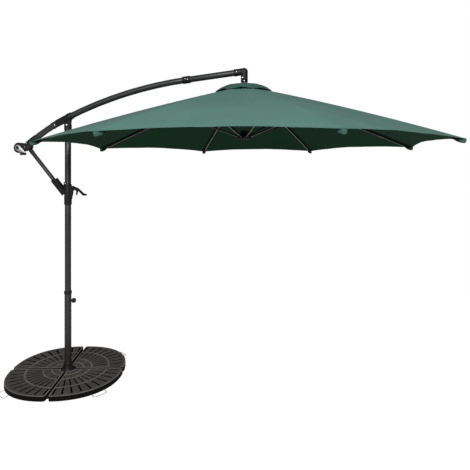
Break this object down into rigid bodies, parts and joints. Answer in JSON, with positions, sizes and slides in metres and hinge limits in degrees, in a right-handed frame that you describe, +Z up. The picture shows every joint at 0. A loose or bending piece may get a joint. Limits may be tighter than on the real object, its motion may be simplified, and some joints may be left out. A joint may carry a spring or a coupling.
{
  "type": "cantilever patio umbrella with weighted base",
  "caption": "Cantilever patio umbrella: mast on a weighted cross base, curved tilting arm, crank winch and folding ribbed canopy.",
  "frame": {"origin": "on the ground under the mast axis, at the centre of the cross base", "axes": "+X along the arm towards the canopy, +Y to the far side of the crank handle, +Z up"},
  "size_m": [3.2497, 2.7834, 2.397],
  "materials": {
    "frame": "satin",
    "rib_frame": "satin",
    "weight": "matte",
    "bare_steel": "satin",
    "crank_plate": "satin",
    "black_plastic": "satin",
    "canopy": "matte",
    "cord": "matte"
  },
  "bodies": {
    "base": {"cross_base": "frame", "weight_1": "weight", "weight_2": "weight", "weight_3": "weight", "weight_4": "weight", "foot_flange": "frame", "flange_bolt_1": "bare_steel", "flange_bolt_2": "bare_steel", "flange_bolt_3": "bare_steel", "flange_bolt_4": "bare_steel", "foot_collar": "black_plastic", "base_tube": "frame", "tube_collar": "black_plastic", "clamp_nut": "frame"},
    "clamp_knob": {"clamp_knob": "black_plastic"},
    "mast": {"mast_tube": "frame", "mast_head": "black_plastic", "head_bolt": "bare_steel"},
    "slider": {"slider_body": "black_plastic"},
    "slider_lever": {"slider_lever": "black_plastic"},
    "strut": {"strut_tube": "frame", "strut_top_end": "black_plastic", "strut_lower_end": "black_plastic"},
    "arm": {"arm_tube_rear": "frame", "arm_tube_front": "frame", "arm_coupler": "black_plastic", "arm_saddle": "black_plastic", "arm_collar": "frame", "elbow": "black_plastic", "crank_housing": "black_plastic", "housing_cover": "black_plastic", "centre_tube": "frame", "crown_hub": "black_plastic", "lift_cord": "cord", "lift_cord_drop": "cord", "canopy": "canopy", "vent_cap": "canopy"},
    "elbow_pulley": {"elbow_pulley": "black_plastic"},
    "crank": {"winch_spool": "black_plastic", "crank_shaft": "bare_steel", "crank_arm": "crank_plate"},
    "crank_grip": {"crank_grip": "black_plastic"},
    "runner": {"runner": "black_plastic"},
    "rib_1": {"rib_1": "rib_frame"},
    "stretcher_1": {"stretcher_1": "rib_frame"},
    "rib_2": {"rib_2": "rib_frame"},
    "stretcher_2": {"stretcher_2": "rib_frame"},
    "rib_3": {"rib_3": "rib_frame"},
    "stretcher_3": {"stretcher_3": "rib_frame"},
    "rib_4": {"rib_4": "rib_frame"},
    "stretcher_4": {"stretcher_4": "rib_frame"},
    "rib_5": {"rib_5": "rib_frame"},
    "stretcher_5": {"stretcher_5": "rib_frame"},
    "rib_6": {"rib_6": "rib_frame"},
    "stretcher_6": {"stretcher_6": "rib_frame"},
    "rib_7": {"rib_7": "rib_frame"},
    "stretcher_7": {"stretcher_7": "rib_frame"},
    "rib_8": {"rib_8": "rib_frame"},
    "stretcher_8": {"stretcher_8": "rib_frame"}
  },
  "joints": [
    {"name": "clamp_turn", "type": "hinge", "parent": "base", "child": "clamp_knob", "pos_m": [0, 0, 0.581], "axis": [1, 0, 0], "continuous": true},
    {"name": "mast_swivel", "type": "hinge", "parent": "base", "child": "mast", "pos_m": [0, 0, 0.65], "axis": [0, 0, 1], "continuous": true},
    {"name": "arm_tilt", "type": "hinge", "parent": "mast", "child": "arm", "pos_m": [0, 0, 1.976], "axis": [0, -1, 0], "range_deg": [0, 20]},
    {"name": "strut_swing", "type": "hinge", "parent": "arm", "child": "strut", "pos_m": [-0.33, 0, 1.795], "axis": [0, -1, 0], "range_deg": [-33.6, 0]},
    {"name": "slider_slide", "type": "slide", "parent": "mast", "child": "slider", "axis": [0, 0, 1], "range_m": [-0.1555, 0]},
    {"name": "lever_squeeze", "type": "hinge", "parent": "slider", "child": "slider_lever", "pos_m": [0.039, 0, 1.478], "axis": [0, -1, 0], "range_deg": [0, 14], "stiffness_Nm_per_rad": 2, "springref_deg": -8.59},
    {"name": "rib_1_fold", "type": "hinge", "parent": "arm", "child": "rib_1", "pos_m": [1.45358, 0.01722, 2.235], "axis": [-0.3827, 0.9239, 0], "range_deg": [0, 61], "deforming": ["canopy", "vent_cap"]},
    {"name": "crank_turn", "type": "hinge", "parent": "arm", "child": "crank", "pos_m": [-0.404, 0, 1.797], "axis": [0, 1, 0], "range_deg": [0, 1975.8]},
    {"name": "grip_spin", "type": "hinge", "parent": "crank", "child": "crank_grip", "pos_m": [-0.338, 0, 1.747], "axis": [0, 1, 0], "continuous": true},
    {"name": "pulley_turn", "type": "hinge", "parent": "arm", "child": "elbow_pulley", "pos_m": [1.396, 0, 2.35362], "axis": [0, 1, 0], "range_deg": [0, 2716.4]},
    {"name": "runner_slide", "type": "slide", "parent": "arm", "child": "runner", "axis": [0, 0, -1], "range_m": [0, 0.7588], "deforming": ["lift_cord_drop"]},
    {"name": "stretcher_1_turn", "type": "hinge", "parent": "rib_1", "child": "stretcher_1", "pos_m": [1.953, 0.22409, 2.05322], "axis": [-0.3827, 0.9239, 0], "range_deg": [-122, 0]},
    {"name": "rib_2_fold", "type": "hinge", "parent": "arm", "child": "rib_2", "pos_m": [1.42922, 0.04158, 2.235], "axis": [-0.9239, 0.3827, 0], "range_deg": [0, 61]},
    {"name": "stretcher_2_turn", "type": "hinge", "parent": "rib_2", "child": "stretcher_2", "pos_m": [1.63609, 0.541, 2.05322], "axis": [-0.9239, 0.3827, 0], "range_deg": [-122, 0]},
    {"name": "rib_3_fold", "type": "hinge", "parent": "arm", "child": "rib_3", "pos_m": [1.39478, 0.04158, 2.235], "axis": [-0.9239, -0.3827, 0], "range_deg": [0, 61]},
    {"name": "stretcher_3_turn", "type": "hinge", "parent": "rib_3", "child": "stretcher_3", "pos_m": [1.18791, 0.541, 2.05322], "axis": [-0.9239, -0.3827, 0], "range_deg": [-122, 0]},
    {"name": "rib_4_fold", "type": "hinge", "parent": "arm", "child": "rib_4", "pos_m": [1.37043, 0.01722, 2.235], "axis": [-0.3827, -0.9239, 0], "range_deg": [0, 61]},
    {"name": "stretcher_4_turn", "type": "hinge", "parent": "rib_4", "child": "stretcher_4", "pos_m": [0.871, 0.22409, 2.05322], "axis": [-0.3827, -0.9239, 0], "range_deg": [-122, 0]},
    {"name": "rib_5_fold", "type": "hinge", "parent": "arm", "child": "rib_5", "pos_m": [1.37043, -0.01722, 2.235], "axis": [0.3827, -0.9239, 0], "range_deg": [0, 61]},
    {"name": "stretcher_5_turn", "type": "hinge", "parent": "rib_5", "child": "stretcher_5", "pos_m": [0.871, -0.22409, 2.05322], "axis": [0.3827, -0.9239, 0], "range_deg": [-122, 0]},
    {"name": "rib_6_fold", "type": "hinge", "parent": "arm", "child": "rib_6", "pos_m": [1.39478, -0.04158, 2.235], "axis": [0.9239, -0.3827, 0], "range_deg": [0, 61]},
    {"name": "stretcher_6_turn", "type": "hinge", "parent": "rib_6", "child": "stretcher_6", "pos_m": [1.18791, -0.541, 2.05322], "axis": [0.9239, -0.3827, 0], "range_deg": [-122, 0]},
    {"name": "rib_7_fold", "type": "hinge", "parent": "arm", "child": "rib_7", "pos_m": [1.42922, -0.04158, 2.235], "axis": [0.9239, 0.3827, 0], "range_deg": [0, 61]},
    {"name": "stretcher_7_turn", "type": "hinge", "parent": "rib_7", "child": "stretcher_7", "pos_m": [1.63609, -0.541, 2.05322], "axis": [0.9239, 0.3827, 0], "range_deg": [-122, 0]},
    {"name": "rib_8_fold", "type": "hinge", "parent": "arm", "child": "rib_8", "pos_m": [1.45358, -0.01722, 2.235], "axis": [0.3827, 0.9239, 0], "range_deg": [0, 61]},
    {"name": "stretcher_8_turn", "type": "hinge", "parent": "rib_8", "child": "stretcher_8", "pos_m": [1.953, -0.22409, 2.05322], "axis": [0.3827, 0.9239, 0], "range_deg": [-122, 0]}
  ],
  "couplings": [
    {"joint": "strut_swing", "follows": "arm_tilt", "ratio": -1.6676},
    {"joint": "slider_slide", "follows": "arm_tilt", "m_per_rad": -0.4437},
    {"joint": "crank_turn", "follows": "rib_1_fold", "ratio": 32.374},
    {"joint": "pulley_turn", "follows": "rib_1_fold", "ratio": 44.515},
    {"joint": "runner_slide", "follows": "rib_1_fold", "m_per_rad": 0.71224},
    {"joint": "stretcher_1_turn", "follows": "rib_1_fold", "ratio": -2},
    {"joint": "rib_2_fold", "follows": "rib_1_fold", "ratio": 1},
    {"joint": "stretcher_2_turn", "follows": "rib_1_fold", "ratio": -2},
    {"joint": "rib_3_fold", "follows": "rib_1_fold", "ratio": 1},
    {"joint": "stretcher_3_turn", "follows": "rib_1_fold", "ratio": -2},
    {"joint": "rib_4_fold", "follows": "rib_1_fold", "ratio": 1},
    {"joint": "stretcher_4_turn", "follows": "rib_1_fold", "ratio": -2},
    {"joint": "rib_5_fold", "follows": "rib_1_fold", "ratio": 1},
    {"joint": "stretcher_5_turn", "follows": "rib_1_fold", "ratio": -2},
    {"joint": "rib_6_fold", "follows": "rib_1_fold", "ratio": 1},
    {"joint": "stretcher_6_turn", "follows": "rib_1_fold", "ratio": -2},
    {"joint": "rib_7_fold", "follows": "rib_1_fold", "ratio": 1},
    {"joint": "stretcher_7_turn", "follows": "rib_1_fold", "ratio": -2},
    {"joint": "rib_8_fold", "follows": "rib_1_fold", "ratio": 1},
    {"joint": "stretcher_8_turn", "follows": "rib_1_fold", "ratio": -2}
  ]
}
